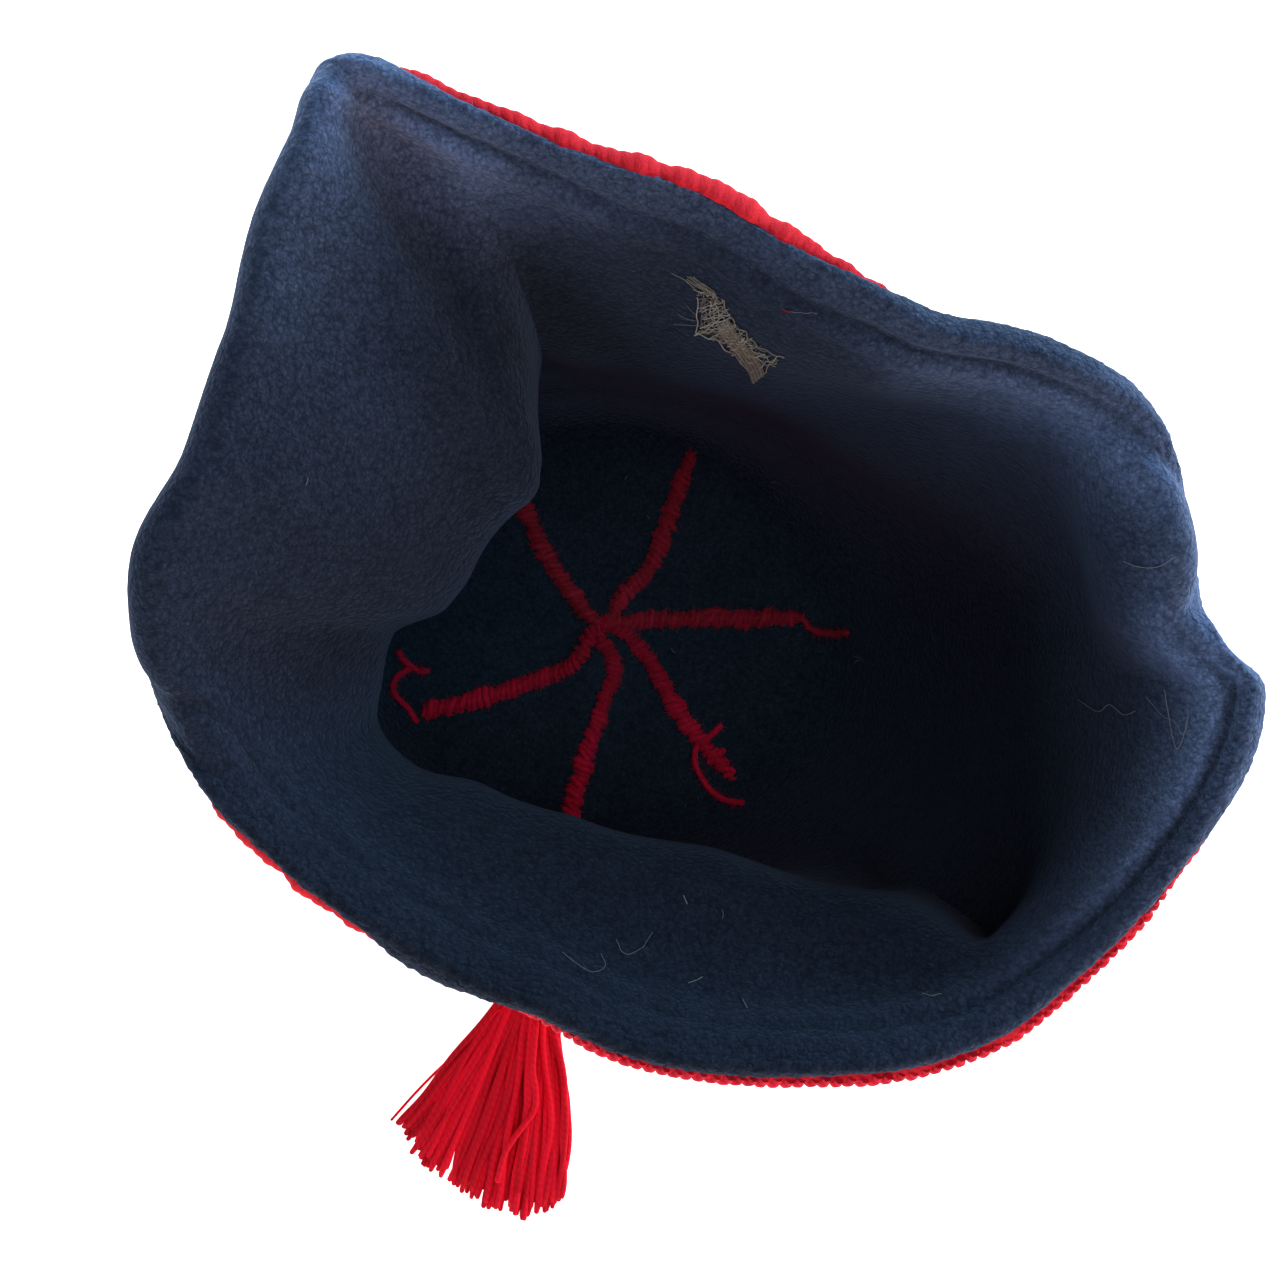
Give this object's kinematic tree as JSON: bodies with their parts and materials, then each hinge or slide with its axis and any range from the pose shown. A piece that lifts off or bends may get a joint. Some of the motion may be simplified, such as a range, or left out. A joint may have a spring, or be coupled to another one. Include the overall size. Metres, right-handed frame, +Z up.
{
  "type": "knit hat with fleece lining",
  "caption": "Soft knit hat with a fleece lining, resting on its crown with the opening up, one side pushed in, two rim lobes turned out, and a tassel on a short cord.",
  "frame": {"origin": "on the surface it rests on, under the middle of the hat's box seen from above, without the tassel and its cord", "axes": "+Z up out of the opening, +X the long way of the opening, away from the pushed-in side, -Y towards the tassel"},
  "size_m": [0.235, 0.2815, 0.1721],
  "materials": {
    "knit": "thick red stocking-stitch knit",
    "fleece": "navy short-pile fleece",
    "yarn": "red acrylic yarn, twisted and overcast",
    "label_tape": "frayed beige woven tape, bare"
  },
  "bodies": {
    "root": {"knit_shell": "knit", "fleece_lining": "fleece", "crown_seam_1": "yarn", "crown_seam_2": "yarn", "crown_seam_3": "yarn", "crown_seam_4": "yarn", "crown_seam_5": "yarn", "crown_seam_6": "yarn", "label_stub": "label_tape", "tassel_cord": "yarn", "tassel": "yarn"}
  },
  "joints": []
}
